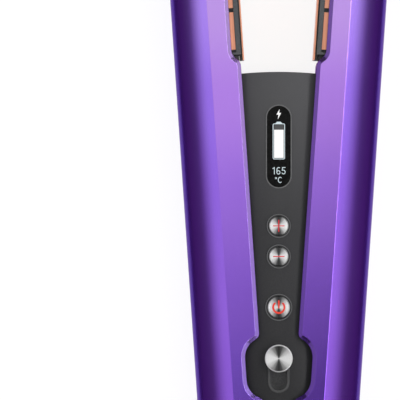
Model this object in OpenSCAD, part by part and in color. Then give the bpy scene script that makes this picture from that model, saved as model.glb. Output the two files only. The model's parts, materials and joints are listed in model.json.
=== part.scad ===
// A cordless hair straightener, open, with its magnetic charging lead plugged in at the tail.
// Most pieces are drawn about the hinge: +Y runs to the tips, +Z is the front, x = 0 is the seam.

/* [Body] */
// Length of the closed body, from the end cap to the tips
body_l = 306; // [290:1:320]
// Radius of the rounded sides
side_r = 24; // [23.5:0.1:25]
// Thickness across the flat front and back
body_t = 42; // [41:0.2:43]
// Wall of the arms' shells
shell_wall = 1.8; // [1.4:0.1:2]
// Radius of the tips' outer corners
tip_r = 16; // [12:0.5:19]
// How far the tail's round centre lies above the hinge
tail_rise = 3.4; // [2.5:0.1:4]
// Angle that each arm stands open
open_angle = 3.87; // [2:0.01:4.5]
// Half of the gap that the closed arms leave beside the control panel
seam = 1.4; // [1:0.05:2]
// Half of the gap that the closed shells leave beside the plates
plate_seam = 4.3; // [4:0.1:5]
// Width of the chamfer along the shells' inner edges
chamfer_w = 1.36; // [0.6:0.02:1.6]
// Depth of the chamfer along the shells' inner edges
chamfer_h = 1.1; // [0.6:0.05:1.2]

/* [Control panel] */
// Width of the control panel and of the plain back panel
panel_w = 28; // [27:0.2:29]
// Radius of the panels' crown
panel_r = 44; // [40:1:60]
// Wall of the panels
panel_wall = 2; // [1.5:0.1:2.2]
// Height of the panel's end above the hinge
panel_end = 167.2; // [165:0.1:168]
// Radius of the panel's end, seen from the front
panel_end_r = 140; // [100:5:300]
// Width of the display's frame
display_w = 8.8; // [7:0.1:10]
// Length of the display's frame
display_l = 28.5; // [24:0.1:30]
// Width of the rim round the display
display_rim = 0.35; // [0.2:0.05:0.6]
// Height of the display's centre above the hinge
display_y = 141.8; // [140:0.1:144]
// Radius of the plus and minus buttons
key_r = 3.25; // [2.5:0.05:3.6]
// Radius of the power button
power_r = 3.75; // [3:0.05:4.2]
// Width of the rim round each button
key_rim = 0.7; // [0.4:0.05:0.9]
// Height of the plus button above the hinge
plus_y = 114.8; // [113:0.1:116]
// Height of the minus button above the hinge
minus_y = 104.4; // [103:0.1:105]
// Height of the power button above the hinge
power_y = 87.1; // [85:0.1:89]
// How far a button goes in
key_travel = 0.6; // [0.3:0.05:0.8]
// Radius of the charging light
led_r = 0.8; // [0.5:0.05:1.2]
// Height of the charging light above the hinge
led_y = 34; // [30:0.5:40]

/* [Travel lock] */
// Radius of the lock's knob
knob_r = 4.7; // [4:0.05:5.2]
// Height of the unlocked knob above the hinge
knob_y = 69.7; // [69:0.1:70.5]
// How far the lock slides
lock_travel = 8; // [7:0.5:8]
// Width of the lock's slot
slot_w = 5.8; // [5:0.1:6]
// Width of the rim round the slot
slot_rim = 0.8; // [0.6:0.1:1.4]
// Half width of the lobe that the closed arms leave round the lock
lobe_x = 6.7; // [6.2:0.1:8]
// Length of the lobe
lobe_l = 24; // [22:0.5:28]
// Length of the lobe's straight sides
lobe_flat = 7.5; // [6:0.5:12]

/* [Hinge] */
// Radius of the dark ring round the hinge
ring_r = 12; // [11.5:0.1:12.4]
// Radius of the spun disc in the ring
disc_r = 9.3; // [8.5:0.1:10]
// Radius of the dimple in the disc
dimple_r = 2.2; // [1.5:0.1:2.6]
// How far the front ring stands proud of the flats
ring_proud = 0.8; // [0.3:0.1:1.5]
// Radius of the hinge pin
pin_r = 3; // [2.5:0.1:3.5]
// Radius of the hinge lugs
lug_r = 6.5; // [6:0.1:7.5]
// Thickness of the hinge lugs
lug_t = 3.4; // [3:0.1:3.5]
// Half height of the frame's barrel on the pin
barrel_z = 5.6; // [5:0.1:5.8]

/* [End cap] */
// Wall of the end cap
cap_wall = 1.2; // [1:0.1:1.6]
// Clearance between the end cap and the arms' tails
cap_gap = 0.5; // [0.4:0.05:0.8]
// Angle of the end cap's sides below the hinge
cap_angle = 38.9; // [36:0.1:41]
// Radius of the charging socket
socket_r = 5.3; // [4.5:0.1:5.8]
// Depth of the charging socket
socket_depth = 4.7; // [4:0.1:5]

/* [Plates] */
// Height of the plates' inner end above the hinge
plate_y = 171.7; // [170:0.1:173]
// Length of the plates
plate_l = 90; // [80:1:94]
// Width of the plates
plate_w = 34; // [30:0.5:35]
// Thickness of the plates
plate_t = 0.5; // [0.4:0.05:0.7]
// Gap between the closed plates
plate_gap = 0.3; // [0.2:0.05:0.5]
// Thickness of the seal behind each plate
seal_t = 0.5; // [0.4:0.05:0.6]
// Width of the carrier's edge that shows beside the seal
carrier_edge = 1.55; // [1.3:0.05:1.8]
// Length of each copper segment beside the plate
segment_l = 12.7; // [10:0.1:12.9]
// Gap between the copper segments
segment_gap = 1.46; // [0.8:0.02:2]
// Number of copper segments along each edge
segments = 6; // [4:1:6]

/* [Battery] */
// Radius of a cell
cell_r = 9; // [8.5:0.05:9]
// Length of a cell
cell_l = 65; // [60:0.5:65]

/* [Charging lead] */
// Radius of the connector's barrel
boot_r = 7.85; // [7:0.05:8.5]
// Angle between the connector's leg and the body's long axis
leg_angle = 52; // [40:1:60]
// Radius of the connector's leg and of the ribs where they start
leg_r = 4.8; // [4:0.1:5.2]
// Radius of the last rib
rib_end_r = 4.13; // [3.5:0.05:4.8]
// Depth of the grooves between the ribs
rib_depth = 0.9; // [0.5:0.05:1.2]
// Number of ribs
ribs = 14; // [8:1:18]
// Length of the ribbed strain relief
relief_l = 38.9; // [30:0.1:45]
// How far the strain relief bends along its length, in degrees
relief_bend = 11; // [0:1:20]
// Diameter of the cord
cord_d = 4.6; // [4:0.1:4.6]
// Turns of the coil in each layer
coil_turns = 3; // [2:1:4]
// Layers of the coil
coil_layers = 4; // [2:2:4]
// Distance from turn to turn and from layer to layer
coil_pitch = 5.2; // [5.2:0.1:6]
// Radius of the coil's outer turn
coil_r = 33.7; // [30:0.1:36]

/* [Power adapter] */
// Thickness of the adapter
adapter_t = 30; // [26:1:34]
// Length of the adapter
adapter_l = 70; // [60:1:80]
// Width of the adapter
adapter_w = 36; // [34:1:44]
// Radius of the adapter's corners
adapter_corner = 8; // [4:1:12]
// Radius of the mains pins
mains_pin_r = 2; // [1.8:0.1:2.4]
// Length of the mains pins
mains_pin_l = 19; // [16:0.5:20]
// Distance between the mains pins
mains_pin_span = 19; // [17:0.5:20]

/* [Hidden] */

$fn = 64;

// Clearances
seat = 0.3;
slide_gap = 0.1;
running = 0.05;
eps = 0.01;

// Heights from the middle plane, and places along the body
flat_z = body_t / 2;
inner_z = flat_z - shell_wall;
inner_r = side_r - shell_wall;
panel_gap = 0.6;
crown_z = inner_z - panel_gap;
panel_x = panel_w / 2;
panel_start = 8;
skirt_t = 1.4;
cap_r = side_r + cap_gap + cap_wall;
cap_low = cap_r - tail_rise;
tip_y = body_l - cap_low;
corner_y = tip_y - tip_r;
top_y = tip_y * cos(open_angle) - plate_seam * sin(open_angle);
hinge_y = (cap_low - top_y) / 2;
far = 2 * body_l;

// Inner edge of the right shell, from the tail to the tip
lobe_y = knob_y - lock_travel / 2 + 0.9;
lobe_r_share = 0.25;
recess_y = panel_end + 2.4;
recess_l = 5.5;
curve_steps = 6;
edge_line = concat(
  [[seam, -2 * side_r]],
  ogee([seam, lobe_y - lobe_l / 2], [lobe_x, lobe_y - lobe_flat / 2], lobe_r_share),
  ogee([lobe_x, lobe_y + lobe_flat / 2], [seam, lobe_y + lobe_l / 2], 1 - lobe_r_share),
  ogee([seam, recess_y], [plate_seam, recess_y + recess_l], 0.5),
  [[plate_seam, tip_y + side_r]]);
ring_gap = 0.4;
tail_angle = cap_angle + 6.1;
core_angle = tail_angle + open_angle + 3;

// Battery cradle and frame
cell_gap = 0.15;
cradle_wall = 0.65;
cradle_r = cell_r + cell_gap + cradle_wall;
cell_x = cell_r + 3 * cell_gap;
cell_z = -3.2;
cradle_y = 22;
bulkhead_t = 3.5;
cell_y = cradle_y + bulkhead_t + 1.5;
cell_step = cell_l + 3;
frame_end = panel_end - 1.1;
bulkhead_x = panel_x - skirt_t - 0.1;

// Board, switches and buttons, from the cradle up to the panel
board_z = cell_z + cradle_r + 0.2;
board_t = 1.4;
board_top = board_z + board_t;
switch_h = 2;
plunger_h = 0.9;
key_stem_z = board_top + switch_h + plunger_h + key_travel + 0.1;
bezel_z = crown_z + 0.2;
bezel_depth = 3.5;
key_top = crown_z + 0.35;
flange_t = 1.6;
module_inset = 3;
module_t = 2;
plug_w = 4;
plug_l = 18;

// Travel lock
hook_z = board_top - 0.6;
hook_t = 1.5;
lip_h = 1.8;
lip_x = panel_x + 0.6;
lip_t = 1.2;
wing_x = lip_x + lip_t + seat;
wing_t = 1.5;
wing_l = 6;
bar_z = hook_z + hook_t + lip_h + seat;
bar_t = 1.5;
hook_y = knob_y - lock_travel - 0.7;
hook_l = 7;
liner_top = crown_z + 0.15;
stem_r = slot_w / 2 - 0.2;
knob_z = liner_top + 0.2;
knob_h = 2.4;

// Hinge stack, out from the middle plane
lug_gap = 0.3;
inner_lug_z = barrel_z + lug_gap;
outer_lug_z = inner_lug_z + lug_t + lug_gap;
tongue_z = outer_lug_z + lug_t + lug_gap;
tongue_t = 2;
tongue_x = 7;
ring_z = tongue_z + tongue_t + slide_gap;
ring_floor = 1.6;
nose_r = 0.9;
spine_r = inner_r - seat;
spine_t = 1.6;
spine_z = 9.2;
knuckle_z = tongue_z - 0.1;
knuckle_y = cradle_y - 2;
web_root = 5;
web_low = 4.2;
web_reach = side_r - 10;

// Plates, from the seam outwards
plate_x = plate_gap / 2;
seal_x = plate_x + plate_t;
carrier_x = seal_x + seal_t;
segment_x = carrier_x + carrier_edge;
carrier_y = plate_y + 1.9;
segment_y = carrier_y + 1.8;
segment_step = segment_l + segment_gap;
segment_h = 1.3;
segment_w = 2.5;
rail_w = 0.8;
groove_z = flat_z - 4.6;
groove_w = segment_w + rail_w + 0.2;
heater_w = 16;
heater_t = 1.3;
heater_inset = 10;
heater_tip = 6;
heater_y = plate_y + heater_inset;
heater_l = plate_l - heater_inset - heater_tip;
heater_gap = 0.3;
sensor_r = 1.2;
flex_r = spine_r - spine_t - 0.2;
flex_t = 0.7;
flex_z = [1.5, 7.2];

// Charging connector
head_r = socket_r - 0.3;
head_top = -cap_low + socket_depth - 0.6;
neck_r = 3.2;
neck_l = 5;
collar_r = 4.2;
collar_t = 1.2;
seat_r = cap_r + 0.15;
boot_top = -cap_low + 0.95;
boot_chamfer = 0.8;
boot_l = 10.8;
boot_low = -cap_low - boot_l;
recess_floor = -cap_low - 0.2;
leg_meet_y = boot_low - 0.2;
leg_l = 8.9;
leg_end = [-leg_l * sin(leg_angle), leg_meet_y - leg_l * cos(leg_angle)];
relief_end = relief_point(relief_l);
relief_dir = [-sin(leg_angle - relief_bend), -cos(leg_angle - relief_bend), 0];

// The cord lies on the table behind the tail. Its points are measured from the hinge and the table.
cord_sides = 8;
cord_z = cord_d / 2;
coil_centre = [-20, -140];
coil_rings = 24;
coil_top = cord_z + (coil_layers - 1) * coil_pitch;
coil_total = coil_layers * coil_turns + (coil_layers - 1) / 2;
coil_in = [coil_centre.x - coil_r, coil_centre.y + cord_d, cord_z];
coil_out = [coil_centre.x + coil_r, coil_centre.y + cord_d, coil_top];
run_start = [relief_end.x, relief_end.y, flat_z];
run_route = concat(
  [run_start, run_start + cord_d * relief_dir],
  [[-42.6, -74, 20.2], [-46.5, -79.4, 17.9], [-49.6, -85.3, 14.1], [-51.9, -91.6, 9.2],
   [-53.2, -98.1, 5.4], [-53.7, -104.7, 3.1], [-53.7, -111.4, 2.3], [-53.7, -119.4, 2.3],
   [-53.7, -127.4, 2.3]],
  [coil_in]);
adapter_place = [44, -8];
gland_l = 12;
gland_r = 4.5;
adapter_in = [adapter_place.x, adapter_place.y - adapter_l / 2 - gland_l, adapter_w / 2];
tail_route = concat(
  [coil_out, coil_out + [0, cord_d, 0]],
  [[13.8, -123.5, 16.8], [15, -116.3, 13.6], [17.6, -109.4, 8.4], [21.3, -103.1, 4.3],
   [26.1, -97.6, 2.4], [31.6, -92.8, 2.4], [36.4, -87.3, 4.3], [40.1, -81, 8.4],
   [42.7, -74.1, 13.6], [43.9, -66.9, 16.9]],
  [adapter_in - [0, cord_d, 0], adapter_in]);
boss_h = 4;
boss_w = 12;
boss_y = adapter_place.y + adapter_l / 2 - boss_w * 1.5;

// Two arcs that leave a and reach b along Y. The first has this share of the two radii
function ogee(a, b, share) =
  let (dx = abs(b.x - a.x), way = sign(b.x - a.x), turn = 2 * atan(dx / (b.y - a.y)))
  let (r = dx / (1 - cos(turn)), r1 = r * share, r2 = r - r1)
  concat(
    [for (i = [0 : curve_steps]) let (u = turn * i / curve_steps)
      a + r1 * [way * (1 - cos(u)), sin(u)]],
    [for (i = [curve_steps - 1 : -1 : 0]) let (u = turn * i / curve_steps)
      b - r2 * [way * (1 - cos(u)), sin(u)]]);

// A line moved sideways to its right by d
function beside(line, d) = [for (i = [0 : len(line) - 1])
  let (a = line[max(i - 1, 0)], b = line[min(i + 1, len(line) - 1)], t = (b - a) / norm(b - a))
  line[i] + d * [t.y, -t.x]];

// Middle line of the strain relief, a slow bend that starts along the connector's leg
function relief_point(s) =
  let (turn = -relief_bend * PI / 180 / relief_l, a = leg_angle - relief_bend * s / relief_l)
  relief_bend == 0
    ? [leg_end.x - s * sin(leg_angle), leg_end.y - s * cos(leg_angle)]
    : [leg_end.x + (cos(a) - cos(leg_angle)) / turn, leg_end.y - (sin(a) - sin(leg_angle)) / turn];

// Radius of the coil's line after u turns: in through one layer, out through the next
function coil_radius(u) =
  let (cycle = coil_turns + 0.5, k = floor(u / cycle), v = u - k * cycle, w = (v - coil_turns) / 0.5)
  let (low = coil_r - coil_turns * coil_pitch, even = k % 2 == 0)
  v <= coil_turns
    ? (even ? coil_r - v * coil_pitch : low + v * coil_pitch)
    : (even ? low - coil_pitch * w * (1 - w) / 2 : coil_r + coil_pitch * w * (1 - w) / 2);

// Height of the coil's line after u turns: it climbs a layer in the half turn between layers
function coil_height(u) =
  let (cycle = coil_turns + 0.5, k = floor(u / cycle), w = max(0, (u - k * cycle - coil_turns) / 0.5))
  cord_z + coil_pitch * (k + w * w * (3 - 2 * w));

function coil_point(u) = [
  coil_centre.x - coil_radius(u) * cos(360 * u),
  coil_centre.y - coil_radius(u) * sin(360 * u),
  coil_height(u)];

coil_count = coil_rings * coil_total;
coil_line = concat(
  [coil_in],
  [for (i = [0 : coil_count]) coil_point(min(i / coil_rings, coil_total - 0.0001))],
  [coil_out]);

// A solid through rings of points, each ring with as many points as the next
module skin(rings) {
  n = len(rings);
  sides = len(rings[0]);
  walls = [for (i = [0 : n - 2], k = [0 : sides - 1])
    let (a = i * sides + k, b = i * sides + (k + 1) % sides)
    each [[a, b, b + sides], [a, b + sides, a + sides]]];
  ends = [[for (k = [0 : sides - 1]) sides - 1 - k], [for (k = [0 : sides - 1]) (n - 1) * sides + k]];
  polyhedron([for (ring = rings) each ring], concat(walls, ends));
}

// A tube along points p, with radius r[i] at point i
module tube(p, r, sides) {
  last = len(p) - 1;
  skin([for (i = [0 : last])
    let (t = p[min(i + 1, last)] - p[max(i - 1, 0)], side = cross(t, [0, 0, 1]) / norm(cross(t, [0, 0, 1])))
    let (up = cross(side, t) / norm(cross(side, t)))
    [for (k = [0 : sides - 1]) p[i] + r[i] * (cos(360 * k / sides) * side + sin(360 * k / sides) * up)]]);
}

// Places
module at_hinge() translate([0, hinge_y, flat_z]) children();
module on_table() translate([0, hinge_y, 0]) children();
module on_right() at_hinge() rotate([0, 0, -open_angle]) children();
module on_left() at_hinge() rotate([0, 0, open_angle]) mirror([1, 0, 0]) children();
module both_faces() {
  children();
  mirror([0, 0, 1]) children();
}

// A block from corner a to corner b
module block(a, b) translate(a) cube(b - a);
// A round bar along Y from y0 to y1
module bar_y(r, y0, y1) translate([0, y0, 0]) rotate([-90, 0, 0]) cylinder(r = r, h = y1 - y0);
// A profile of radius and height turned about the Y axis
module turned_y() rotate([-90, 0, 0]) rotate_extrude($fn = 128) children();
// A slot outline of width w, with its round ends' centres at y0 and y1
module slot_outline(w, y0, y1) {
  translate([0, y0]) circle(w / 2);
  translate([0, y1]) circle(w / 2);
  translate([-w / 2, y0]) square([w, y1 - y0]);
}
module slot_bar(w, y0, y1, z0, z1) translate([0, 0, z0]) linear_extrude(z1 - z0) slot_outline(w, y0, y1);

// The closed body, d inside its surface
module body_profile(d) {
  intersection() {
    union() {
      translate([0, tail_rise]) circle(side_r - d);
      translate([0, tail_rise]) square([side_r - d, corner_y - tail_rise]);
      translate([0, corner_y - tip_r]) square([side_r - tip_r, 2 * tip_r - d]);
      translate([side_r - tip_r, corner_y]) circle(tip_r - d);
    }
    translate([0, -side_r]) square([side_r, far]);
  }
}
module body_form(d) {
  intersection() {
    turned_y() body_profile(d);
    block([-side_r, -side_r, d - flat_z], [side_r, far, flat_z - d]);
  }
}

// Wedge below two lines that leave the hinge at angle a under the X axis
module tail_wedge(a) {
  linear_extrude(2 * side_r, center = true)
    polygon([
      [0, 0], [far * cos(a), -far * sin(a)], [far, -far],
      [-far, -far], [-far * cos(a), -far * sin(a)]]);
}

// Space between the closed shells
module seam_space() {
  gap = concat(edge_line, [[-1, tip_y + side_r], [-1, -2 * side_r]]);
  linear_extrude(2 * side_r, center = true) polygon(gap);
}
module seam_chamfer() {
  over = 0.4;
  low_z = flat_z - chamfer_h;
  top_z = flat_z + over;
  wide = beside(edge_line, chamfer_w * (1 + over / chamfer_h));
  skin([for (i = [0 : len(edge_line) - 1])
    let (low = edge_line[i], high = wide[i])
    [[low.x, low.y, low_z], [high.x, high.y, top_z], [-1, low.y, top_z], [-1, low.y, low_z]]]);
}

// One arm's pieces, drawn closed, on the +X side
module arm_shell() {
  difference() {
    body_form(0);
    body_form(shell_wall);
    block([-far, -far, -far], [0, far, far]);
    seam_space();
    both_faces() seam_chamfer();
    cylinder(r = ring_r + ring_gap, h = far, center = true, $fn = 96);
    tail_wedge(tail_angle);
  }
}

module arm_spine(lug_z) {
  module web() {
    circle(lug_r);
    polygon([
      [0, -lug_r], [web_root, -web_low], [side_r, web_root],
      [side_r, knuckle_y], [web_reach, knuckle_y], [web_root - 1, web_root]]);
  }
  intersection() {
    difference() {
      union() {
        block([0, tail_rise, -spine_z], [side_r, plate_y + 1, spine_z]);
        block([0, tail_rise, -knuckle_z], [side_r, knuckle_y, knuckle_z]);
      }
      bar_y(spine_r - spine_t, 0, far);
    }
    bar_y(spine_r, 0, far);
  }
  difference() {
    intersection() {
      both_faces() translate([0, 0, lug_z]) linear_extrude(lug_t) web();
      bar_y(spine_r, -side_r, far);
    }
    cylinder(r = pin_r + running, h = far, center = true);
  }
  // End plate that carries the plate's carrier
  intersection() {
    body_form(shell_wall + seat);
    block([carrier_x + 0.65, plate_y, -plate_w / 2], [side_r, carrier_y - 0.2, plate_w / 2]);
  }
  // Hook that the travel lock holds
  intersection() {
    bar_y(spine_r - spine_t / 2, 0, far);
    union() {
      block([lip_x, hook_y - hook_l / 2, hook_z], [side_r, hook_y + hook_l / 2, hook_z + hook_t]);
      block([lip_x, hook_y - hook_l / 2, hook_z],
        [lip_x + lip_t, hook_y + hook_l / 2, hook_z + hook_t + lip_h]);
    }
  }
}

module arm_carrier() {
  difference() {
    intersection() {
      body_form(shell_wall + seat);
      block([carrier_x, carrier_y, -far], [side_r, far, far]);
    }
    both_faces() block(
      [segment_x, carrier_y + 0.8, groove_z],
      [segment_x + groove_w, segment_y + segments * segment_step, far]);
    block([carrier_x - 1, heater_y - heater_gap, -heater_w / 2 - heater_gap],
      [seal_x + heater_t + heater_gap, heater_y + heater_l + heater_gap, heater_w / 2 + heater_gap]);
    // Hollow that opens towards the handle
    block([segment_x + groove_w + 1, carrier_y - 1, -groove_z + 3],
      [spine_r - 4, plate_y + plate_l, groove_z - 3]);
    translate([seal_x + heater_t + sensor_r, heater_y + heater_l / 2, 0]) sphere(sensor_r + heater_gap);
  }
  // Foot that steps down beside the plate's inner end
  block([seal_x + 0.1, plate_y, -plate_w / 2 + 2], [carrier_x + 0.45, carrier_y, plate_w / 2 - 2]);
}

module arm_seal() {
  difference() {
    block([seal_x, carrier_y, -plate_w / 2 - 0.5], [carrier_x, plate_y + plate_l + 1, plate_w / 2 + 0.5]);
    block([seal_x - 1, heater_y - heater_gap, -heater_w / 2 - heater_gap],
      [carrier_x + 1, heater_y + heater_l + heater_gap, heater_w / 2 + heater_gap]);
  }
}

module arm_plate() {
  block([plate_x, plate_y, -plate_w / 2], [seal_x, plate_y + plate_l, plate_w / 2]);
}

// Slotted copper strips that let the plate flex, one along each edge
module arm_segments() {
  both_faces() translate([0, 0, groove_z + 0.1]) linear_extrude(segment_h) {
    for (i = [0 : segments - 1])
      translate([segment_x + 0.1, segment_y + i * segment_step]) square([segment_w + 0.1, segment_l]);
    translate([segment_x + segment_w + 0.1, segment_y])
      square([rail_w, segments * segment_step - segment_gap]);
  }
}

module arm_heater() {
  block([seal_x + eps, heater_y, -heater_w / 2], [seal_x + heater_t, heater_y + heater_l, heater_w / 2]);
}

module arm_sensor() {
  translate([seal_x + heater_t + sensor_r + 0.1, heater_y + heater_l / 2, 0]) sphere(sensor_r);
}

// Flat lead along the spine, from the hinge end to the carrier
module arm_flex() {
  intersection() {
    difference() {
      bar_y(flex_r, cradle_y + 2, plate_y - 0.3);
      bar_y(flex_r - flex_t, 0, far);
    }
    block([0, 0, flex_z[0]], [side_r, far, flex_z[1]]);
  }
}

// The crowned cover of the front or of the back, with side walls that reach down to low_z
module crowned_cover(low_z) {
  difference() {
    intersection() {
      union() {
        difference() {
          translate([0, 0, crown_z - panel_r]) bar_y(panel_r, panel_start, panel_end, $fn = 128);
          translate([0, 0, crown_z - panel_r]) bar_y(panel_r - panel_wall, 0, far, $fn = 128);
          block([-far, -far, -far], [far, far, 10]);
        }
        intersection() {
          translate([0, 0, crown_z - panel_r]) bar_y(panel_r, cradle_y, frame_end, $fn = 128);
          difference() {
            block([-panel_x, 0, low_z], [panel_x, far, crown_z]);
            block([skirt_t - panel_x, -1, low_z - 1], [panel_x - skirt_t, far, crown_z + 1]);
          }
        }
      }
      block([-panel_x, 0, -far], [panel_x, far, far]);
      translate([0, panel_end - panel_end_r, 0]) cylinder(r = panel_end_r, h = far, center = true, $fn = 256);
    }
    cylinder(r = ring_r + seat, h = far, center = true, $fn = 96);
  }
}

// Ring and disc over one end of the hinge pin, with their top at height top
module hinge_ring(top) {
  rotate_extrude($fn = 96) polygon([
    [pin_r + slide_gap, ring_z], [ring_r, ring_z], [ring_r, top - 0.6], [ring_r - 0.6, top],
    [disc_r + 0.5, top], [disc_r + slide_gap, top - 0.4], [disc_r + slide_gap, ring_z + ring_floor],
    [pin_r + slide_gap, ring_z + ring_floor]]);
}
module hinge_disc(top) {
  pin_end = top - 1.9;
  rotate_extrude($fn = 96) polygon([
    [pin_r + slide_gap, ring_z + ring_floor + slide_gap], [disc_r, ring_z + ring_floor + slide_gap],
    [disc_r, top - 0.35], [disc_r - 0.2, top - 0.2], [dimple_r + 0.2, top - 0.5], [dimple_r, top - 0.8],
    [dimple_r * 0.6, top - 1.1], [nose_r + slide_gap, top - 1.1], [nose_r + slide_gap, pin_end],
    [pin_r + slide_gap, pin_end]]);
}

// Round metal bezel, tactile switch and button at height y above the hinge
module key_bezel(r, y) {
  translate([0, y, bezel_z - bezel_depth]) difference() {
    cylinder(r = r + slide_gap + key_rim, h = bezel_depth);
    translate([0, 0, -1]) cylinder(r = r + slide_gap, h = bezel_depth + 2);
  }
}
module key_switch(y) {
  translate([-2.1, y - 2.1, board_top]) cube([4.2, 4.2, switch_h]);
  translate([0, y, board_top + switch_h - eps]) cylinder(r = 0.9, h = plunger_h + eps);
}
module key_button(r, y) {
  flange_z = bezel_z - bezel_depth - flange_t - 0.2;
  translate([0, y, 0]) rotate_extrude() polygon([
    [0, key_stem_z], [1.3, key_stem_z], [1.3, flange_z], [r + 0.4, flange_z], [r + 0.4, flange_z + flange_t],
    [r, flange_z + flange_t], [r, key_top - 0.35], [r - 0.25, key_top - 0.1], [0, key_top]]);
}

module panel_openings() {
  slot_bar(display_w + 0.1, display_y - (display_l - display_w) / 2, display_y + (display_l - display_w) / 2,
    board_top, far);
  for (key = [[key_r, plus_y], [key_r, minus_y], [power_r, power_y]])
    translate([0, key[1], board_top]) cylinder(r = key[0] + key_rim + 2 * slide_gap, h = far);
  slot_bar(slot_w + 2 * slot_rim + 0.1, knob_y - lock_travel, knob_y, board_top, far);
  translate([0, led_y, board_top]) cylinder(r = led_r + running, h = far);
  // Side slots that the lock's bar passes through
  block([-panel_x - 1, knob_y - lock_travel - wing_l / 2 - 1, bar_z - seat],
    [panel_x + 1, knob_y + wing_l / 2 + 1, bar_z + bar_t + seat]);
}

module cell(side, place) {
  y = cell_y + place * cell_step;
  color("seagreen") at_hinge() translate([side * cell_x, 0, cell_z]) {
    bar_y(cell_r, y, y + cell_l - 1);
    bar_y(cell_r * 0.35, y, y + cell_l);
  }
}

// Chassis
module control_panel() {
  color([0.2, 0.2, 0.21]) at_hinge() difference() {
    crowned_cover(board_z + 0.2);
    panel_openings();
  }
}

module back_panel() {
  color([0.2, 0.2, 0.21]) at_hinge() mirror([0, 0, 1]) crowned_cover(cradle_r - cell_z + 0.2);
}

module centre_frame() {
  module bulkhead(y0, y1) {
    intersection() {
      block([-bulkhead_x, y0, -far], [bulkhead_x, y1, far]);
      both_faces() intersection() {
        translate([0, 0, crown_z - panel_r]) bar_y(panel_r - panel_wall - 0.1, y0, y1, $fn = 128);
        block([-far, y0, -eps], [far, y1, far]);
      }
    }
    for (side = [-1, 1]) translate([side * cell_x, 0, cell_z]) bar_y(cradle_r, y0, y1);
  }
  color([0.12, 0.12, 0.13]) at_hinge() difference() {
    union() {
      bulkhead(cradle_y, cradle_y + bulkhead_t);
      bulkhead(frame_end - bulkhead_t, frame_end);
      for (side = [-1, 1]) translate([side * cell_x, 0, cell_z])
        difference() {
          bar_y(cradle_r, cradle_y + 1, frame_end - 1);
          bar_y(cell_r + cell_gap, cradle_y + bulkhead_t, frame_end - bulkhead_t);
        }
      cylinder(r = lug_r, h = 2 * barrel_z, center = true);
      intersection() {
        union() {
          block([-5, -ring_r, -barrel_z], [5, cradle_y + 1, barrel_z]);
          both_faces() block([-tongue_x, -ring_r, tongue_z], [tongue_x, cradle_y + 1, tongue_z + tongue_t]);
        }
        union() {
          cylinder(r = ring_r + 0.1, h = far, center = true, $fn = 96);
          block([-far, 0, -far], [far, far, far]);
        }
      }
    }
    for (side = [-1, 1]) translate([side * cell_x, 0, cell_z])
      bar_y(cell_r + cell_gap, cradle_y + bulkhead_t, frame_end - bulkhead_t);
    cylinder(r = pin_r, h = far, center = true);
  }
}

module display_bezel() {
  y0 = display_y - (display_l - display_w) / 2;
  y1 = display_y + (display_l - display_w) / 2;
  color("silver") at_hinge() difference() {
    slot_bar(display_w, y0, y1, crown_z - panel_wall + 0.2, crown_z + 0.1);
    slot_bar(display_w - 2 * display_rim, y0, y1, crown_z - panel_wall - 1, crown_z + 1);
  }
}

module display_lens() {
  color([0.02, 0.02, 0.03]) at_hinge() slot_bar(
    display_w - 2 * display_rim - slide_gap,
    display_y - (display_l - display_w) / 2, display_y + (display_l - display_w) / 2,
    crown_z - panel_wall + 0.5, crown_z);
}

module display_module() {
  half_w = display_w / 2 - display_rim - 0.3;
  half_l = display_l / 2 - module_inset;
  top = crown_z - panel_wall + 0.4;
  color("dimgray") at_hinge() {
    block([-half_w, display_y - half_l, top - module_t], [half_w, display_y + half_l, top]);
    block([-plug_w / 2, display_y - plug_l / 2, board_top],
      [plug_w / 2, display_y + plug_l / 2, top - module_t + eps]);
  }
}

module main_board() {
  half_w = bulkhead_x - 0.4;
  color([0.05, 0.08, 0.06]) at_hinge() block(
    [-half_w, cradle_y + bulkhead_t + 0.3, board_z],
    [half_w, frame_end - bulkhead_t - 0.3, board_top]);
}

module plus_bezel() color("silver") at_hinge() key_bezel(key_r, plus_y);
module minus_bezel() color("silver") at_hinge() key_bezel(key_r, minus_y);
module power_bezel() color("silver") at_hinge() key_bezel(power_r, power_y);
module plus_switch() color("dimgray") at_hinge() key_switch(plus_y);
module minus_switch() color("dimgray") at_hinge() key_switch(minus_y);
module power_switch() color("dimgray") at_hinge() key_switch(power_y);

module slot_liner() {
  color([0.25, 0.25, 0.26]) at_hinge() difference() {
    slot_bar(slot_w + 2 * slot_rim, knob_y - lock_travel, knob_y, crown_z - panel_wall, liner_top);
    slot_bar(slot_w, knob_y - lock_travel, knob_y, crown_z - panel_wall - 1, liner_top + 1);
  }
}

module led_lens() {
  color("orange") at_hinge() translate([0, led_y, crown_z - panel_wall - 1])
    cylinder(r = led_r, h = panel_wall + 1);
}

module cell_1() cell(-1, 0);
module cell_2() cell(1, 0);
module cell_3() cell(-1, 1);
module cell_4() cell(1, 1);

module hinge_pin() {
  top = flat_z + ring_proud - 2;
  color("silver") at_hinge() {
    translate([0, 0, -flat_z + 2]) cylinder(r = pin_r, h = top + flat_z - 2);
    translate([0, 0, top - eps]) cylinder(r = nose_r, h = 1.2 + eps);
    translate([0, 0, -flat_z + 0.8]) cylinder(r = nose_r, h = 1.2 + eps);
  }
}

module front_ring() color([0.1, 0.1, 0.1]) at_hinge() hinge_ring(flat_z + ring_proud);
module front_disc() color("silver") at_hinge() hinge_disc(flat_z + ring_proud);
module back_ring() color([0.1, 0.1, 0.1]) at_hinge() mirror([0, 0, 1]) hinge_ring(flat_z);
module back_disc() color("silver") at_hinge() mirror([0, 0, 1]) hinge_disc(flat_z);

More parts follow.
